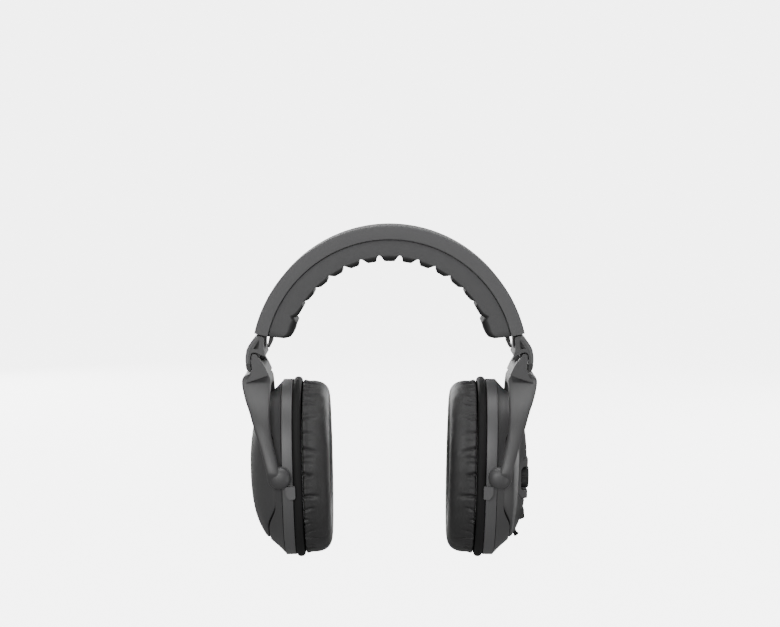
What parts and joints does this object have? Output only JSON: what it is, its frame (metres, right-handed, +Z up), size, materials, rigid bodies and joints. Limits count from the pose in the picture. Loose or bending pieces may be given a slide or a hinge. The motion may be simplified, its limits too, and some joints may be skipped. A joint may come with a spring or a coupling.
{
  "type": "radio headphones",
  "caption": "Over-ear AM/FM radio headphones with a padded toothed headband, folding stirrup yokes, oval cups and gathered ear cushions.",
  "frame": {"origin": "middle of the flat underside of the headband pad's centre tooth, where the band rests on the head", "axes": "+Z up, -Y the way the wearer faces, +X towards the right cup; left and right are as seen from the front, so the right cup is over the wearer's left ear"},
  "size_m": [0.1818, 0.0992, 0.2075],
  "materials": {
    "band_cover": "fine matte leathercloth",
    "band_pad": "matte skinned foam",
    "satin_plastic": "satin, fine moulded grain",
    "rim_plastic": "satin",
    "black_plastic": "matte",
    "cushion_leather": "soft gathered leatherette",
    "soft_rubber": "matte",
    "foam": "open-cell foam",
    "scrim_cloth": "thin knitted mesh",
    "spring_steel": "ground",
    "magnet_metal": "zinc plated",
    "circuit_board": "solder mask",
    "ferrite": "sintered",
    "cell_wrap": "shrink film, blank"
  },
  "bodies": {
    "headband": {"headband_cover": "band_cover", "headband_spring": "spring_steel", "headband_pad": "band_pad", "left_end_tab": "black_plastic", "right_end_tab": "black_plastic"},
    "left_slider": {"left_slider_bracket": "satin_plastic", "left_fold_pin": "spring_steel"},
    "left_yoke_arm": {"left_yoke": "satin_plastic", "left_front_pivot_pin": "spring_steel", "left_rear_pivot_pin": "spring_steel"},
    "left_cup": {"left_cup_shell": "satin_plastic", "left_outer_cap": "satin_plastic", "left_cup_ring": "rim_plastic", "left_cushion_ring": "soft_rubber", "left_ear_cushion": "cushion_leather", "left_baffle": "black_plastic", "left_speaker_driver": "black_plastic", "left_speaker_magnet": "magnet_metal", "left_foam_pad": "foam", "left_ear_scrim": "scrim_cloth", "left_baffle_screw_1": "spring_steel", "left_baffle_screw_2": "spring_steel", "left_baffle_screw_3": "spring_steel", "battery_cell_1": "cell_wrap", "battery_cell_2": "cell_wrap", "upper_contact": "spring_steel", "lower_contact": "spring_steel"},
    "right_slider": {"right_slider_bracket": "satin_plastic", "right_fold_pin": "spring_steel"},
    "right_yoke_arm": {"right_yoke": "satin_plastic", "right_front_pivot_pin": "spring_steel", "right_rear_pivot_pin": "spring_steel"},
    "right_cup": {"right_cup_shell": "satin_plastic", "right_outer_cap": "satin_plastic", "right_cup_ring": "rim_plastic", "right_cushion_ring": "soft_rubber", "right_ear_cushion": "cushion_leather", "right_baffle": "black_plastic", "right_speaker_driver": "black_plastic", "right_speaker_magnet": "magnet_metal", "right_foam_pad": "foam", "right_ear_scrim": "scrim_cloth", "right_baffle_screw_1": "spring_steel", "right_baffle_screw_2": "spring_steel", "right_baffle_screw_3": "spring_steel", "control_bezel": "rim_plastic", "volume_control": "magnet_metal", "mode_switch": "black_plastic", "circuit_board": "circuit_board", "ferrite_antenna": "ferrite", "jack_plug": "soft_rubber"},
    "volume_knob": {"volume_knob": "black_plastic"},
    "mode_button": {"mode_button": "black_plastic"},
    "battery_door": {"battery_door": "satin_plastic"}
  },
  "joints": [
    {"name": "left_height_slide", "type": "slide", "parent": "headband", "child": "left_slider", "axis": [-0.342, 0, -0.9397], "range_m": [0, 0.02]},
    {"name": "left_fold", "type": "hinge", "parent": "left_slider", "child": "left_yoke_arm", "pos_m": [-0.083, 0, -0.0586], "axis": [0, 1, 0], "range_deg": [-30, 0]},
    {"name": "left_tilt", "type": "hinge", "parent": "left_yoke_arm", "child": "left_cup", "pos_m": [-0.0665, 0, -0.1295], "axis": [0, 1, 0], "range_deg": [-6, 12]},
    {"name": "right_height_slide", "type": "slide", "parent": "headband", "child": "right_slider", "axis": [0.342, 0, -0.9397], "range_m": [0, 0.02]},
    {"name": "right_fold", "type": "hinge", "parent": "right_slider", "child": "right_yoke_arm", "pos_m": [0.083, 0, -0.0586], "axis": [0, 1, 0], "range_deg": [0, 30]},
    {"name": "right_tilt", "type": "hinge", "parent": "right_yoke_arm", "child": "right_cup", "pos_m": [0.0665, 0, -0.1295], "axis": [0, 1, 0], "range_deg": [-12, 6]},
    {"name": "volume_turn", "type": "hinge", "parent": "right_cup", "child": "volume_knob", "pos_m": [0.08237, 0, -0.13592], "axis": [0.9998, 0, -0.0201], "range_deg": [-150, 150]},
    {"name": "mode_press", "type": "slide", "parent": "right_cup", "child": "mode_button", "axis": [-0.9998, 0, 0.0201], "range_m": [0, 0.0008], "stiffness_N_per_m": 900},
    {"name": "battery_door_hinge", "type": "hinge", "parent": "left_cup", "child": "battery_door", "pos_m": [-0.08553, 0, -0.10838], "axis": [0, 1, 0], "range_deg": [0, 75]}
  ]
}
